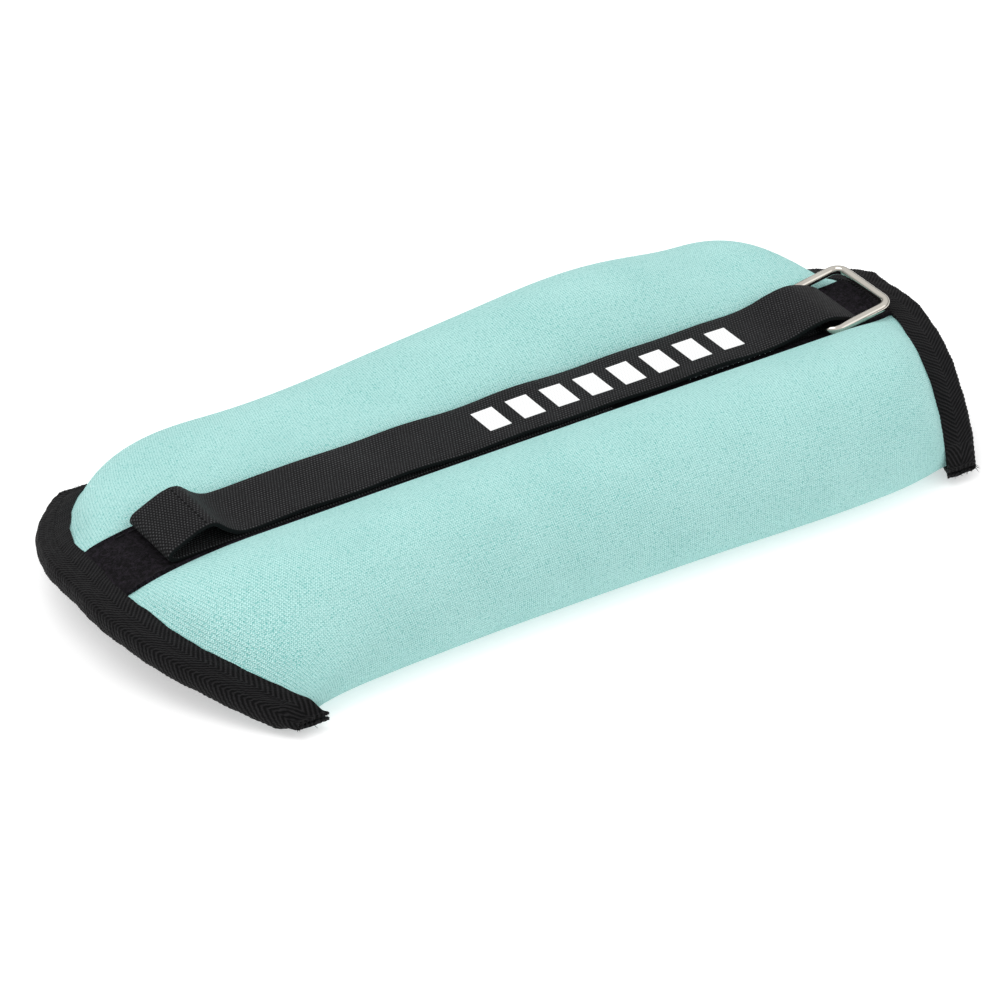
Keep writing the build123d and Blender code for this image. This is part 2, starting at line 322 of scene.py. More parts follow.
def calc(tree, operation, first, second=0.0, third=0.0):
    """One Math node's result."""
    return node(tree, "ShaderNodeMath", {0: first, 1: second, 2: third}, operation=operation).outputs[0]


knit, knit_in, knit_out = pattern_group("jersey knit", "Wales per metre")
knit_axes = node(knit, "ShaderNodeSeparateXYZ", {0: knit_in[0]}).outputs
wale = calc(knit, "MULTIPLY", knit_axes[0], knit_in[1])
course = calc(knit, "MULTIPLY", calc(knit, "MULTIPLY", knit_axes[1], knit_in[1]), 1.25)
leg = calc(knit, "ABSOLUTE", calc(knit, "SUBTRACT", calc(knit, "FRACT", wale), 0.5))
slant = calc(knit, "ADD", course, calc(knit, "MULTIPLY", leg, 1.6))
row = calc(knit, "SINE", calc(knit, "MULTIPLY", slant, 2 * math.pi))
pits = node(knit, "ShaderNodeTexVoronoi", {"Vector": knit_in[0], "Scale": 760.0}).outputs[0]
pits = calc(knit, "SMOOTH_MIN", calc(knit, "MULTIPLY", pits, 3.2), 1.0, 0.4)
gap = calc(knit, "SMOOTH_MIN", calc(knit, "MULTIPLY", leg, 5), 1.0, 0.3)
uneven = node(knit, "ShaderNodeTexNoise", {"Vector": knit_in[0], "Scale": 1500.0, "Detail": 2.0}).outputs[0]
height = calc(knit, "MULTIPLY", calc(knit, "MULTIPLY_ADD", row, 0.5, 0.5), gap)
height = calc(knit, "ADD", height, calc(knit, "MULTIPLY_ADD", uneven, 1.3, -0.35))
height = calc(knit, "MULTIPLY", height, pits)
knit.links.new(height, knit_out["Height"])
# The colour follows the relief: painted shade in the pits, between the wales and in the troughs of the rows.
knit.links.new(calc(knit, "MULTIPLY", height, 0.66), knit_out["Shade"])


def cloth_material(name, dark, light, roughness, sheen, pattern, density, depth, tone=(0.2, 0.9)):
    """Cloth whose weave comes from a pattern group on the piece's UV map. Its colour runs from dark to light
    with the group's painted shade, darker in the hollows of the weave and lighter on its crowns.
    """
    material = bpy.data.materials.new(name)
    material.use_nodes = True
    tree = material.node_tree
    shader = tree.nodes["Principled BSDF"]
    shader.inputs["Roughness"].default_value = roughness
    shader.inputs["Sheen Weight"].default_value = sheen
    shader.inputs["Sheen Roughness"].default_value = 0.5
    shader.inputs["Specular IOR Level"].default_value = 0.12
    uv = node(tree, "ShaderNodeTexCoord").outputs["UV"]
    drawn = node(tree, "ShaderNodeGroup")
    drawn.node_tree = pattern
    tree.links.new(uv, drawn.inputs[0])
    drawn.inputs[1].default_value = density
    # Painted shade and light: the colour is darker where the weave's relief is low and lighter where it
    # stands up.
    ramp = node(tree, "ShaderNodeMapRange", {0: drawn.outputs["Shade"], 1: tone[0], 2: tone[1]}).outputs[0]
    cloud = node(tree, "ShaderNodeTexNoise", {"Vector": uv, "Scale": 35.0, "Detail": 2.0}).outputs[0]
    ramp = calc(tree, "ADD", ramp, calc(tree, "MULTIPLY_ADD", cloud, 0.25, -0.125))
    colour = node(tree, "ShaderNodeMix", {0: ramp, 6: (*dark, 1), 7: (*light, 1)}, data_type="RGBA")
    tree.links.new(colour.outputs[2], shader.inputs["Base Color"])
    relief = {"Height": drawn.outputs["Height"], "Strength": 0.6, "Distance": depth}
    tree.links.new(node(tree, "ShaderNodeBump", relief).outputs[0], shader.inputs["Normal"])
    return material


mint = cloth_material(
    "mint jersey", (0.180, 0.510, 0.480), (0.630, 0.965, 0.930), 0.9, 0.10,
    knit, 1100.0, 0.34 * MM, (0.05, 0.72),
)
cover.data.materials.append(mint)

bend_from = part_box("sand_bag_middle_far")[1].x
bend_to = 100 * MM


def cut_at(obj, x, keep_right):
    """Keeps what lies on one side of a place along the cuff and closes the cut."""
    bpy.ops.object.select_all(action="DESELECT")
    obj.select_set(True)
    bpy.context.view_layer.objects.active = obj
    bpy.ops.object.mode_set(mode="EDIT")
    bpy.ops.mesh.select_all(action="SELECT")
    bpy.ops.mesh.bisect(
        plane_co=(x, 0, 0), plane_no=(1, 0, 0), use_fill=True,
        clear_inner=keep_right, clear_outer=not keep_right,
    )
    bpy.ops.object.mode_set(mode="OBJECT")
    return obj


def halves(obj, name):
    """Cuts a long piece at mid length into a left and a right half and closes each cut."""
    right = obj.copy()
    right.data = obj.data.copy()
    bpy.context.scene.collection.objects.link(right)
    obj.name = f"{name}_left"
    right.name = f"{name}_right"
    for half, keep_right, side, body in ((obj, False, -1, "pad_left"), (right, True, 1, "pad_right")):
        cut_at(half, 0, keep_right)
        bpy.ops.object.shade_smooth_by_angle(angle=math.radians(40))
        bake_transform(half)
    return obj, right


for end_name, half in zip(("left", "right"), halves(cover, "cover_half")):
    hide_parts(f"neoprene_cover_{end_name}", "neoprene_cover_middle")

# ---------------------------------------------------------------------------------------------
# Lining. A black knit panel on the skin side, 0.9 mm thick, sewn to the cover along its two long
# edges and reaching under the bindings at both ends.
# ---------------------------------------------------------------------------------------------
lining_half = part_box("lining_middle")[1].y
lining_lowest = 0.46 * MM
black_knit = cloth_material(
    "black lining knit", (0.004, 0.004, 0.005), (0.016, 0.016, 0.018), 0.9, 0.05, knit, 900.0, 0.15 * MM
)


def lining_place(along, across):
    side = -1 if along < 0.5 else 1
    y = (across - 0.5) * 2 * lining_half
    x = (edge_at(side, y)[0] - side * 4 * MM) * abs(along - 0.5) * 2
    return Vector((x, y, max(cover_under(x, y) - 0.15 * MM, lining_lowest)))


lining = sheet_from("lining", 70, 40, lining_place, (0.31, 2 * lining_half))
thickness = lining.modifiers.new("thickness", "SOLIDIFY")
thickness.thickness = 0.9 * MM
thickness.offset = 0.0
finished(lining)
cleaned(lining)
lining.data.materials.append(black_knit)
for end_name, half in zip(("left", "right"), halves(lining, "lining_half")):
    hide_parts(f"lining_{end_name}", "lining_middle")

# ---------------------------------------------------------------------------------------------
# Sand bags. Six pouches of clear film, two in each third, filled with iron sand. Each is heat
# sealed flat at its two ends and lies loose inside its lobe.
# ---------------------------------------------------------------------------------------------
bag_limits = {"left": (-137.0, -55.5), "middle": (-46.0, 46.0), "right": (55.5, 137.0)}
bag_inner = 9 * MM
foam = 3.6 * MM

crinkle, crinkle_in, crinkle_out = pattern_group("film crinkle", "Creases per metre")
grains, grains_in, grains_out = pattern_group("sand grains", "Grains per metre")
for group, ins, outs, kind in (
    (crinkle, crinkle_in, crinkle_out, "ShaderNodeTexNoise"),
    (grains, grains_in, grains_out, "ShaderNodeTexVoronoi"),
):
    pattern = node(group, kind, {"Vector": ins[0], "Scale": ins[1]}).outputs[0]
    group.links.new(pattern, outs["Height"])
    # The colour follows the relief: painted shade in the film's creases and in the low parts of the sand and
    # hook grains, painted light on their high parts.
    group.links.new(pattern, outs["Shade"])

film = cloth_material(
    "clear bag film", (0.46, 0.47, 0.48), (0.62, 0.63, 0.64), 0.3, 0.0, crinkle, 260.0, 0.6 * MM
)
iron = cloth_material(
    "iron sand", (0.020, 0.019, 0.018), (0.12, 0.115, 0.11), 0.55, 0.0, grains, 1500.0, 0.3 * MM
)


def pouch(name, third, lobe, inset, material):
    """A filled pouch inside a lobe, pulled flat at its two ends."""
    low, high = bag_limits[third]
    low, high = (low + inset) * MM, (high - inset) * MM

    def place(along, around):
        x = low + (high - low) * along
        side = -1 if x < 0 else 1
        seam = (1 - abs(2 * along - 1) ** 5) ** 0.5
        turn = 2 * math.pi * around
        outer = abs(cover_point(x, lobe * widest_y * MM, widest_z * MM, 1).y) - foam
        y = lobe * (bag_inner + inset * MM + (outer - bag_inner - 2 * inset * MM) * (1 + math.cos(turn)) / 2)
        x_limit = abs(edge_at(side, y)[0]) - (15 + inset) * MM
        x = max(-x_limit, min(x_limit, x))
        top = cover_top(x, y) - (3.4 + inset) * MM
        under = cover_under(x, y) + (2.9 + inset) * MM
        middle = (top + under) / 2
        fill = abs(math.sin(turn)) ** 0.6 * math.copysign(1, math.sin(turn))
        return Vector((x, y, middle + (top - under) / 2 * fill * seam))

    piece = sheet_from(name, 30, 40, place, (0.09, 0.16))
    cleaned(piece)
    finished(subdivided(piece))
    piece.data.materials.append(material)
    return piece


for third, side in (("left", -1), ("middle", 0), ("right", 1)):
    for lobe_name, lobe in (("far", 1), ("near", -1)):
        for kind, inset, material, slot in (
            ("sand_bag", 0.0, film, "bag_film"), ("iron_sand", 1.0, iron, "iron_sand"),
        ):
            piece = pouch(f"{kind}_pouch_{third}_{lobe_name}", third, lobe, inset, material)
            if side:
                start, end = (side * bend_from, 0, 0), (side * bend_to, 0, 0)
                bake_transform(piece)
                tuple(start)
                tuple(end)
            else:
                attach(piece, "pad_middle")
            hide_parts(f"{kind}_{third}_{lobe_name}")

# ---------------------------------------------------------------------------------------------
# Loop tape. A strip of black brushed nylon pile along the channel, 27 mm wide, sewn down by a row
# of black stitches at each edge. The strap's hook patch sticks to it.
# ---------------------------------------------------------------------------------------------
tape_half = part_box("channel_tape_middle")[1].y
tape_thickness = 1.3 * MM

pile, pile_in, pile_out = pattern_group("brushed pile", "Clumps per metre")
clumps = node(
    pile, "ShaderNodeTexNoise", {"Vector": pile_in[0], "Scale": pile_in[1], "Detail": 4.0, "Distortion": 1.5}
)
hair_scale = calc(pile, "MULTIPLY", pile_in[1], 5.0)
hairs = node(
    pile, "ShaderNodeTexNoise", {"Vector": pile_in[0], "Scale": hair_scale, "Detail": 2.0, "Distortion": 3.0}
)
fuzz = calc(pile, "MULTIPLY_ADD", hairs.outputs[0], 0.5, calc(pile, "MULTIPLY", clumps.outputs[0], 0.6))
pile.links.new(fuzz, pile_out["Height"])
# The same noise gives the colour: painted light on the raised fuzz and painted shade in its hollows.
pile.links.new(fuzz, pile_out["Shade"])
felt = cloth_material(
    "black loop pile", (0.0008, 0.0006, 0.001), (0.034, 0.026, 0.038), 0.95, 0.03,
    pile, 620.0, 0.7 * MM, (0.50, 0.80),
)


def tape_end(side):
    """Place along the cuff where the tape goes under a binding."""
    return edge_at(side, 0)[0] - side * 9.4 * MM


def channel_place(along, across):
    y = (across - 0.5) * 2 * tape_half
    x = tape_end(-1) + (tape_end(1) - tape_end(-1)) * along
    to_end = min(abs(x - tape_end(-1)), abs(x - tape_end(1)))
    lift = 0.55 * tape_thickness - 0.35 * MM * max(0.0, 1 - to_end / (2 * MM))
    lift += 0.12 * MM * math.sin(x / (3.7 * MM)) * math.cos(y / (2.9 * MM))
    return Vector((x, y, cover_top(x, y) + lift))


tape = sheet_from("channel_tape", 220, 24, channel_place, (0.30, 2 * tape_half))
thickness = tape.modifiers.new("thickness", "SOLIDIFY")
thickness.thickness = tape_thickness
thickness.offset = 0.0
finished(tape)
cleaned(tape)
tape.data.materials.append(felt)
for end_name, half in zip(("left", "right"), halves(tape, "loop_tape_half")):
    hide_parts(f"channel_tape_{end_name}", "channel_tape_middle")

twist, twist_in, twist_out = pattern_group("twisted thread", "Twist per metre")
twist_axes = node(twist, "ShaderNodeSeparateXYZ", {0: twist_in[0]}).outputs
plies = calc(twist, "ADD", calc(twist, "ADD", twist_axes[0], twist_axes[1]), twist_axes[2])
plies = calc(twist, "SINE", calc(twist, "MULTIPLY", plies, twist_in[1]))
plies = calc(twist, "MULTIPLY_ADD", plies, 0.5, 0.5)
twist.links.new(plies, twist_out["Height"])
# Painted light on the plies and painted shade between them, from the same relief.
twist.links.new(plies, twist_out["Shade"])
thread = cloth_material(
    "black thread", (0.004, 0.004, 0.005), (0.02, 0.02, 0.022), 0.6, 0.05, twist, 9000.0, 0.1 * MM
)
# The twist follows a stitch's place, because it needs no UV map.
for link in list(thread.node_tree.links):
    if link.from_socket.name == "UV":
        thread.node_tree.links.new(link.from_node.outputs["Object"], link.to_socket)
for name in ("anchor_stitching", "holder_stitching"):
    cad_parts[name].data.materials.clear()
    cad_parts[name].data.materials.append(thread)


def stitch_row(name, places):
    """A row of short threads, each lying along the cuff and dipping into the cloth at its ends."""
    bpy.ops.object.select_all(action="DESELECT")
    made = []
    for place, slope in places:
        bpy.ops.mesh.primitive_cylinder_add(
            vertices=8, radius=0.28 * MM, depth=3.2 * MM, location=place, rotation=(0, math.pi / 2 - slope, 0)
        )
        made.append(bpy.context.object)
    for piece in made:
        piece.select_set(True)
    bpy.context.view_layer.objects.active = made[0]
    bpy.ops.object.join()
    row = bpy.context.object
    row.name = name
    bpy.ops.object.transform_apply(location=True, rotation=True, scale=True)
    rounded = row.modifiers.new("round", "BEVEL")
    rounded.width = 0.12 * MM
    rounded.segments = 1
    finished(row)
    row.data.materials.append(thread)
    return row


stitch_pitch = 4.5 * MM
stitch_side = tape_half - 1.6 * MM
stitch_lift = 1.15 * tape_thickness
for end_name, side in (("left", -1), ("right", 1)):
    places = []
    number = 0
    while (number + 1) * stitch_pitch < abs(tape_end(side)) - 8 * MM:
        x = side * (number + 0.5) * stitch_pitch
        ahead = cover_top(x + MM, channel_half) - cover_top(x - MM, channel_half)
        slope = math.atan2(ahead, 2 * MM)
        for row in (-1, 1):
            places.append(((x, row * stitch_side, cover_top(x, stitch_side) + stitch_lift), slope))
        number += 1
    row = stitch_row(f"channel_stitches_{end_name}", places)
    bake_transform(row)
    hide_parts(f"channel_stitching_{end_name}", "channel_stitching_middle")

# ---------------------------------------------------------------------------------------------
# Bindings. Black cotton twill tape folded over each raw end and sewn through, running past both
# corners, where its cut ends fray.
# ---------------------------------------------------------------------------------------------
ribs_per_metre = 700
zigzag = 5.5 * MM
rib_slant = 0.9
twill, twill_in, twill_out = pattern_group("twill", "Ribs per metre")
twill_axes = node(twill, "ShaderNodeSeparateXYZ", {0: twill_in[0]}).outputs
herring = calc(twill, "PINGPONG", twill_axes[1], zigzag)
rib = calc(twill, "ADD", twill_axes[0], calc(twill, "MULTIPLY", herring, rib_slant))
rib = calc(twill, "SINE", calc(twill, "MULTIPLY", calc(twill, "MULTIPLY", rib, twill_in[1]), 2 * math.pi))
yarn = calc(twill, "SUBTRACT", twill_axes[0], calc(twill, "MULTIPLY", twill_axes[1], 1.4))
yarn = calc(twill, "SINE", calc(twill, "MULTIPLY", calc(twill, "MULTIPLY", yarn, twill_in[1]), 12.0))
lint = node(twill, "ShaderNodeTexNoise", {"Vector": twill_in[0], "Scale": 1800.0, "Detail": 3.0}).outputs[0]
ribs = calc(twill, "MULTIPLY_ADD", rib, 0.34, calc(twill, "MULTIPLY_ADD", yarn, 0.10, 0.5))
twill_height = calc(twill, "MULTIPLY_ADD", lint, 0.35, ribs)
twill.links.new(twill_height, twill_out["Height"])
# The ribs give the colour too: painted light on them and painted shade between them.
twill.links.new(twill_height, twill_out["Shade"])
cotton = cloth_material(
    "black cotton twill", (0.001, 0.001, 0.0012), (0.024, 0.023, 0.0245), 0.85, 0.04,
    twill, ribs_per_metre, 0.6 * MM, (0.50, 1.25),
)

tape_across = 26 * MM
binding_depth = 10 * MM
binding_gap = 0.15 * MM
binding_thickness = 1.15 * MM
past_corner = 1.0 * MM
random.seed(11)


def rib_at(y, across):
    """Relief of the twill on the tape: ribs that slant one way, then the other."""
    fold = abs((across / (2 * zigzag)) % 1 - 0.5) * 2 * zigzag
    return math.sin(2 * math.pi * ribs_per_metre * (y + rib_slant * fold))


def binding_line(side, y, around, relief=0.0):
    """A point of the middle of the folded tape, from its upper inner edge to its lower one."""
    corner = corner_at(side, y)
    inside = min(abs(y), corner - 5 * MM) * (1 if y > 0 else -1)
    x_edge, level = edge_at(side, y)
    shift = edge_at(side, inside)[0]
    depth = (abs(around - 0.5) * 2 - 0.24) / 0.76 * binding_depth
    out = binding_gap + binding_thickness / 2
    over = min(1.0, max(0.0, (abs(y) - abs(inside)) / (5 * MM)))
    over = over * over * (3 - 2 * over)
    half = (edge_half + out) * (1 - over) + 0.95 * MM * over + relief
    up = 1 if around < 0.5 else -1
    turn = min(1.0, max(0.0, (around - 0.38) / 0.24)) * math.pi
    round_over = (1.4 * MM + relief) * math.sin(turn)
    if depth <= 0:
        z = level + half * math.cos(turn)
        return Vector((x_edge + side * round_over, y, max(z, 0.8 * MM)))
    x = x_edge - side * depth
    beside = shift - side * depth
    rolled = 0.35 * MM * math.sin(math.pi * min(1.0, depth / binding_depth))
    if up > 0:
        z = max(cover_top(beside, inside), level + edge_half * (1 - over)) + out + relief + rolled
    else:
        z = min(cover_under(beside, inside), level - edge_half * (1 - over)) - out - relief
    z += (level + up * half - z) * over
    return Vector((x, y, max(z, 0.8 * MM)))


for end_name, side in (("left", -1), ("right", 1)):
    near_end = -corner_at(side, -1) - past_corner
    far_end = corner_at(side, 1) + past_corner
    binding_length = far_end - near_end

    def place(along, around):
        y = near_end + along * binding_length
        rough = 0.16 * math.sin(y / (1.31 * MM)) * math.cos(around * 23 + y / (3.7 * MM))
        rough += 0.13 * math.sin(y / (4.1 * MM) + around * 9)
        point = binding_line(side, y, around, (0.14 * rib_at(y, around * tape_across) + rough) * MM)
        wavy = 0.40 * math.sin(y / (5.3 * MM)) + 0.25 * math.sin(y / (2.1 * MM) + 1.3)
        point.x -= side * wavy * MM * max(0.0, abs(around - 0.5) * 2 - 0.2)
        return point

    binding = sheet_from(f"binding_{end_name}", 340, 44, place, (binding_length, tape_across))
    thickness = binding.modifiers.new("thickness", "SOLIDIFY")
    thickness.thickness = binding_thickness
    thickness.offset = 0.0
    rounded = binding.modifiers.new("rounded", "BEVEL")
    rounded.width = 0.35 * MM
    rounded.segments = 2
    rounded.limit_method = "ANGLE"
    finished(binding)
    cleaned(binding)
    # Loose threads at the two cut ends.
    bpy.ops.object.select_all(action="DESELECT")
    threads = []
    for corner in (-1, 1):
        for number in range(26):
            around = random.uniform(0.05, 0.95)
            root = binding_line(side, (far_end if corner > 0 else near_end) - corner * 0.3 * MM, around)
            sideways = random.uniform(-0.7, 0.7)
            outwards = corner * random.uniform(0.5, 1.0)
            lean = Vector((sideways, outwards, random.uniform(-0.3, 0.5)))
            lean.normalize()
            size = random.uniform(1.2, 3.0) * MM
            bpy.ops.mesh.primitive_cone_add(
                vertices=5, radius1=0.16 * MM, radius2=0.04 * MM, depth=size,
                location=root + lean * size / 2, rotation=lean.to_track_quat("Z", "Y").to_euler(),
            )
            tip = bpy.context.object
            if tip.location.z < size / 2:
                tip.location.z = size / 2 + 0.2 * MM
            threads.append(tip)
    for piece in threads:
        piece.select_set(True)
    bpy.context.view_layer.objects.active = threads[0]
    bpy.ops.object.transform_apply(location=True, rotation=True, scale=True)
    binding.select_set(True)
    bpy.context.view_layer.objects.active = binding
    bpy.ops.object.join()
    binding.data.materials.clear()
    binding.data.materials.append(cotton)
    bpy.ops.object.shade_smooth_by_angle(angle=math.radians(40))
    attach(binding, f"pad_{end_name}")
    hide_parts(f"{end_name}_binding")

# ---------------------------------------------------------------------------------------------
# Strap. One length of 25 mm black polypropylene webbing. Its lower run is sewn down in the channel;
# at the left it folds back over itself, runs to the right, over the ring's bar and into the ring.
# ---------------------------------------------------------------------------------------------
strap_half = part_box("strap_top_middle")[1].y
strap_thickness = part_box("strap_under_middle")[1].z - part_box("strap_under_middle")[0].z
lower_level = (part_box("strap_under_middle")[0].z + strap_thickness / 2) / MM
sewn_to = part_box("strap_under_middle")[1].x / MM
bar_level = (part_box("strap_top_right")[1].z - strap_thickness / 2) / MM
bar_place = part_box("ring")[0].x / MM + 1.5
tip_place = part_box("strap_top_right")[1].x / MM

weave, weave_in, weave_out = pattern_group("webbing weave", "Yarns per metre")
weave_axes = node(weave, "ShaderNodeSeparateXYZ", {0: weave_in[0]}).outputs
weft = calc(weave, "MULTIPLY", weave_axes[0], weave_in[1])
warp = calc(weave, "MULTIPLY", weave_axes[1], weave_in[1])
odd = calc(weave, "MULTIPLY", calc(weave, "FLOOR", warp), 0.5)
bump_along = calc(weave, "SINE", calc(weave, "MULTIPLY", calc(weave, "ADD", weft, odd), 2 * math.pi))
bump_across = calc(weave, "SINE", calc(weave, "MULTIPLY", calc(weave, "FRACT", warp), math.pi))
specks = {"Vector": weave_in[0], "Scale": 2600.0, "Detail": 1.0}
speckle = node(weave, "ShaderNodeTexNoise", specks).outputs[0]
knuckle = calc(weave, "MULTIPLY", calc(weave, "MULTIPLY_ADD", bump_along, 0.5, 0.5), bump_across)
# Painted highlights: the colour is lighter on the raised yarn crossings and in scattered specks on them.
knuckle_highlights = calc(weave, "MULTIPLY", knuckle, calc(weave, "MULTIPLY_ADD", speckle, 2.6, -0.3))
weave.links.new(knuckle, weave_out["Height"])
weave.links.new(knuckle_highlights, weave_out["Shade"])
webbing = cloth_material(
    "black webbing", (0.002, 0.002, 0.0024), (0.078, 0.078, 0.082), 0.65, 0.03,
    weave, 960.0, 0.35 * MM, (0.30, 1.3),
)


def wave(x, y):
    """How far the strap's upper layer stands off a flat course at a place along it."""
    free = min(1.0, max(0.0, (x + 100 * MM) / (30 * MM))) * min(1.0, max(0.0, (105 * MM - x) / (20 * MM)))
    edge = (y / strap_half) ** 2 * math.sin(x / (6.3 * MM) + (0 if y > 0 else 1.9))
    return free * (0.22 * math.sin(x / (9.1 * MM)) + 0.3 * edge) * MM


def ribbon(name, line, half_width, thickness, material, steps=1.2, start=0.0, lift=None):
    """A flat band of webbing that follows a line of (x, z) points in millimetres."""
    fine = [mixed(line, number / 600) for number in range(601)]
    run = [0.0]
    for a, b in zip(fine, fine[1:]):
        run.append(run[-1] + math.dist(a, b))
    length = run[-1]
    flat = half_width - 0.32 * thickness
    shoulder = half_width - 0.064 * thickness
    low = 0.34 * thickness
    strips = max(6, int(flat / MM / 1.1))
    section = [(-flat + 2 * flat * number / strips, thickness / 2) for number in range(strips + 1)]
    section += [(shoulder, low), (half_width, 0), (shoulder, -low)]
    section += [(flat - 2 * flat * number / strips, -thickness / 2) for number in range(strips + 1)]
    section += [(-shoulder, -low), (-half_width, 0), (-shoulder, low)]
    section.append(section[0])

    def place(along, around):
        target = along * length
        low, high = 0, 600
        while high - low > 1:
            middle = (low + high) // 2
            low, high = (low, middle) if run[middle] > target else (middle, high)
        t = (target - run[low]) / max(1e-9, run[high] - run[low])
        x = fine[low][0] + (fine[high][0] - fine[low][0]) * t
        z = fine[low][1] + (fine[high][1] - fine[low][1]) * t
        before, after = fine[max(0, low - 6)], fine[min(600, high + 6)]
        ahead = Vector((after[0] - before[0], 0, after[1] - before[1])).normalized()
        y, off = section[round(around * (len(section) - 1))]
        point = Vector((x * MM - ahead.z * off, y, z * MM + ahead.x * off))
        if lift:
            point.z += lift(point.x, y)
        return point

    band = sheet_from(name, max(8, int(length / steps)), len(section) - 1, place, (1, 1))
    for corner in band.data.uv_layers[0].data:
        across = section[round(corner.uv[1] * (len(section) - 1))][0]
        corner.uv = (start + corner.uv[0] * length * MM, across)
    cleaned(band, 0.001 * MM)
    bpy.ops.object.mode_set(mode="EDIT")
    bpy.ops.mesh.select_all(action="SELECT")
    bpy.ops.mesh.fill_holes(sides=0)
    bpy.ops.mesh.normals_make_consistent(inside=False)
    bpy.ops.object.mode_set(mode="OBJECT")
    finished(band)
    band.data.materials.append(material)
    return band


lower_line = [(x, lower_level) for x in (sewn_to, 10, -30, -75, -115)]
lower_run = ribbon("strap_lower_run", lower_line, strap_half, strap_thickness, webbing)
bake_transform(lower_run)
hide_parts("strap_under_left", "strap_under_middle")

rest_level = lower_level + strap_thickness / MM + 0.85
fold_line = [
    (-115, lower_level), (-119, lower_level), (-123, lower_level), (-126.4, lower_level + 0.2),
    (-128.4, lower_level + 1.6), (-127.6, lower_level + 3.4), (-124.8, lower_level + 4.9),
    (-121.5, lower_level + 6.4), (-118.2, lower_level + 7.8), (-115, lower_level + 8.6),
]
fold = ribbon("strap_fold", fold_line, strap_half, strap_thickness, webbing, steps=0.6, start=0.15)
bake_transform(fold)
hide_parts("strap_under_left", "strap_top_left")

upper_line = [
    (-115, lower_level + 8.6), (-112, lower_level + 8.1), (-107.8, lower_level + 4.6),
    (-103.5, rest_level - 0.1), (-97.5, rest_level - 0.6),
]
upper_line += [(x, rest_level) for x in (-82, -68, -50, -30, -15, 0)]
upper_run = ribbon(
    "strap_upper_run", upper_line, strap_half, strap_thickness, webbing, start=0.1803, lift=wave
)
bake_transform(upper_run)
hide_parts("strap_top_left", "strap_top_middle")

end_line = [(x, rest_level) for x in (0, 20, 40, 60, 80)]
end_line += [
    (97, rest_level + 0.1), (105, rest_level + 0.9), (111, rest_level + 2.4), (116.5, bar_level - 0.1),
    (121, bar_level), (125.5, bar_level - 1.2), (129.5, bar_level - 2.8), (tip_place, 29.6),
]
end_run = ribbon("strap_end_run", end_line, strap_half, strap_thickness, webbing, start=0.2973, lift=wave)
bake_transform(end_run)
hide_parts("strap_top_middle", "strap_top_right")

# ---------------------------------------------------------------------------------------------
# Print. Eight plain white bars of flexible ink, pressed on the top of the strap, which take the
# relief of the webbing and bend with it.
# ---------------------------------------------------------------------------------------------
# The ink's colour takes the webbing's painted highlights as well as its relief.
ink = cloth_material(
    "white flexible ink", (0.80, 0.80, 0.80), (0.95, 0.95, 0.95), 0.5, 0.0,
    weave, 900.0, 0.06 * MM, (0.0, 0.4),
)
bars = []
bar_count, bar_pitch, bar_length, bar_width = 8, 13 * MM, 8 * MM, 12 * MM
first_bar = -4.5 * MM
ink_level = (rest_level + 0.02) * MM + strap_thickness / 2
for number in range(bar_count):
    middle = first_bar + number * bar_pitch

    def place(along, across):
        x, y = middle + (along - 0.5) * bar_length, (across - 0.5) * bar_width
        return Vector((x, y, ink_level + wave(x, y)))

    bars.append(sheet_from(f"bar_{number}", 10, 14, place, (bar_length, bar_width)))
bpy.ops.object.select_all(action="DESELECT")
for bar in bars:
    bar.select_set(True)
bpy.context.view_layer.objects.active = bars[0]
bpy.ops.object.join()
strap_print = bpy.context.object
strap_print.name = "strap_print"
solid = strap_print.modifiers.new("thickness", "SOLIDIFY")
solid.thickness = 0.1 * MM
solid.offset = 1.0
finished(strap_print)
strap_print.data.materials.append(ink)
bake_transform(strap_print)
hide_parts("strap_print_middle", "strap_print_right")

# ---------------------------------------------------------------------------------------------
# Hook patch. A stiff black rectangle of nylon hooks on a thin backing, sewn under the strap near
# its end. It grips the loop tape and, once the strap is pulled back through the ring, the strap.
# ---------------------------------------------------------------------------------------------
hook_low, hook_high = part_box("hook_patch")
hooks = cloth_material(
    "black nylon hooks", (0.006, 0.006, 0.007), (0.05, 0.05, 0.055), 0.4, 0.0, grains, 800.0, 0.3 * MM
)
back_level = rest_level - strap_thickness / MM / 2 - 0.25
patch = ribbon(
    "hook_patch_backing", [(hook_low.x / MM, back_level), (80, back_level), (hook_high.x / MM, back_level)],
    hook_high.y - 0.5 * MM, 0.4 * MM, hooks,
)
made = [patch]
across_hooks = 11
along_hooks = 16
bpy.ops.mesh.primitive_cone_add(vertices=5, radius1=0.30 * MM, radius2=0.16 * MM, depth=0.5 * MM)
pattern_hook = bpy.context.object
for i in range(along_hooks):
    for j in range(across_hooks):
        hook = pattern_hook.copy()
        hook.data = pattern_hook.data.copy()
        bpy.context.scene.collection.objects.link(hook)
        hook.location = (
            hook_low.x + (i + 0.5) * (hook_high.x - hook_low.x) / along_hooks,
            hook_low.y + (j + 0.5) * (hook_high.y - hook_low.y) / across_hooks,
            (back_level - 0.42) * MM,
        )
        hook.rotation_euler = (math.pi, 0.35 if j % 2 else -0.35, 0)
        made.append(hook)
bpy.data.objects.remove(pattern_hook)
bpy.ops.object.select_all(action="DESELECT")
for piece in made:
    piece.select_set(True)
bpy.context.view_layer.objects.active = patch
bpy.ops.object.join()
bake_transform(patch)
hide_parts("hook_patch")

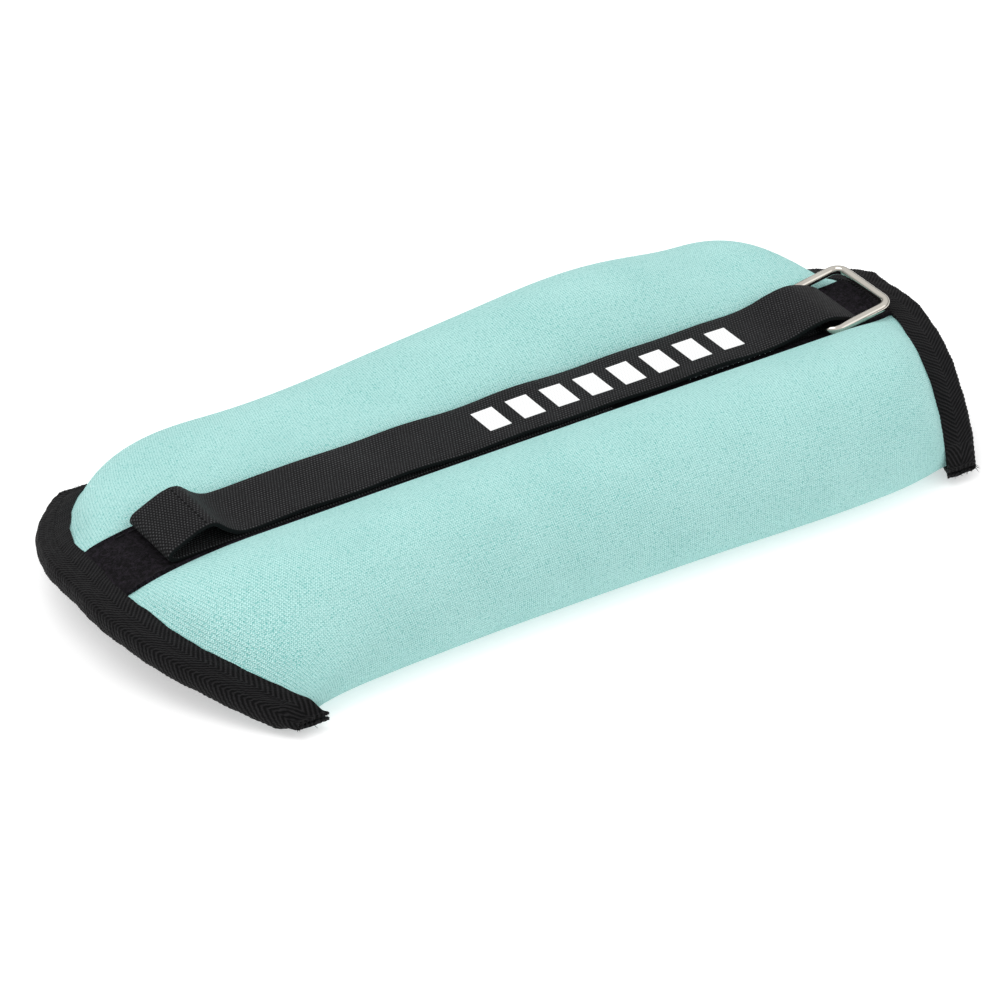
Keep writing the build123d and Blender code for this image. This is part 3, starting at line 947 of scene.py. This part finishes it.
# ---------------------------------------------------------------------------------------------
# Ring and its loop. A rectangular ring of 3 mm nickel-plated steel wire, held by one bar in a loop
# of black webbing that is sewn to the channel.
# ---------------------------------------------------------------------------------------------
nickel = bpy.data.materials.new("polished nickel")
nickel.use_nodes = True
metal = nickel.node_tree
shader = metal.nodes["Principled BSDF"]
shader.inputs["Metallic"].default_value = 1.0
place_of = node(metal, "ShaderNodeTexCoord").outputs["Object"]
lines = node(metal, "ShaderNodeTexNoise", {"Vector": place_of, "Scale": 900.0, "Detail": 3.0}).outputs[0]
dulled = node(metal, "ShaderNodeTexNoise", {"Vector": place_of, "Scale": 120.0, "Detail": 2.0}).outputs[0]
gloss = node(metal, "ShaderNodeMapRange", {0: dulled, 1: 0.35, 2: 0.7, 3: 0.07, 4: 0.18}).outputs[0]
metal.links.new(gloss, shader.inputs["Roughness"])
tones = {0: dulled, 6: (0.50, 0.47, 0.42, 1), 7: (0.68, 0.65, 0.59, 1)}
tone = node(metal, "ShaderNodeMix", tones, data_type="RGBA").outputs[2]
metal.links.new(tone, shader.inputs["Base Color"])
scratch = node(metal, "ShaderNodeBump", {"Height": lines, "Strength": 0.12, "Distance": 0.05 * MM})
metal.links.new(scratch.outputs[0], shader.inputs["Normal"])
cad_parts["ring"].data.materials.clear()
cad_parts["ring"].data.materials.append(nickel)

wire_radius = 1.5
holder_low, holder_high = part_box("ring_holder")
bar_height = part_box("ring")[0].z / MM + wire_radius
held = (holder_high.x - bar_place * MM) / MM - 0.6
tail_end = holder_low.x / MM
under_bar = bar_height - held
loop_line = [
    (tail_end, under_bar), (108, under_bar), (114, under_bar), (bar_place - 0.4, under_bar),
    (bar_place + held * 0.7, bar_height - held * 0.7), (bar_place + held, bar_height),
    (bar_place + held * 0.7, bar_height + held * 0.7), (bar_place, bar_height + held),
    (bar_place - held * 0.8, bar_height + held * 0.5),
    (113.5, under_bar + 1.25), (108, under_bar + 1.25), (tail_end, under_bar + 1.25),
]
holder = ribbon("ring_loop", loop_line, holder_high.y, 1.1 * MM, webbing, steps=0.5)
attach(holder, "pad_right")
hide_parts("ring_holder")

# ---------------------------------------------------------------------------------------------
# Stage. A plain white floor that glows a little, a pale sky, two soft lamps and the camera. None
# of them is a part of the cuff.
# ---------------------------------------------------------------------------------------------
bpy.ops.object.select_all(action="DESELECT")
bpy.ops.mesh.primitive_plane_add(size=12, location=(0, 0, 0))
floor = bpy.context.object
floor.name = "floor"
white = bpy.data.materials.new("white floor")
white.use_nodes = True
shader = white.node_tree.nodes["Principled BSDF"]
shader.inputs["Base Color"].default_value = (0.72, 0.72, 0.72, 1)
shader.inputs["Emission Color"].default_value = (1, 1, 1, 1)
shader.inputs["Emission Strength"].default_value = 0.46
shader.inputs["Roughness"].default_value = 0.9
floor.data.materials.append(white)

world = bpy.data.worlds.new("studio")
bpy.context.scene.world = world
world.use_nodes = True
sky = world.node_tree
direction = node(sky, "ShaderNodeTexCoord").outputs["Generated"]
heading = node(sky, "ShaderNodeSeparateXYZ", {0: direction}).outputs[2]
glow = node(sky, "ShaderNodeMapRange", {0: heading, 1: 0.0, 2: 0.55, 3: 0.10, 4: 0.95}).outputs[0]
sky.links.new(glow, sky.nodes["Background"].inputs["Strength"])
sky.nodes["Background"].inputs["Color"].default_value = (1, 1, 1, 1)


def lamp(name, place, size, power):
    data = bpy.data.lights.new(name, "AREA")
    data.size = size
    data.energy = power
    obj = bpy.data.objects.new(name, data)
    bpy.context.scene.collection.objects.link(obj)
    obj.location = place
    obj.rotation_euler = (-Vector(place)).to_track_quat("-Z", "Y").to_euler()


lamp("key", (-0.7, 0.3, 1.8), 1.2, 12)
lamp("fill", (1.1, -1.5, 1.3), 1.4, 4)

look_at = Vector((-18.4, -26.7, 20.0)) * MM
azimuth, elevation, distance = math.radians(-32.9), math.radians(33.0), 1.380
camera_data = bpy.data.cameras.new("camera")
camera_data.lens = 158.0
camera_data.sensor_width = 36.0
camera = bpy.data.objects.new("camera", camera_data)
bpy.context.scene.collection.objects.link(camera)
back = Vector((
    math.sin(azimuth) * math.cos(elevation),
    -math.cos(azimuth) * math.cos(elevation),
    math.sin(elevation),
))
camera.location = look_at + back * distance
camera.rotation_euler = (-back).to_track_quat("-Z", "Y").to_euler()
bpy.context.scene.camera = camera
bpy.context.scene.view_settings.view_transform = "Standard"
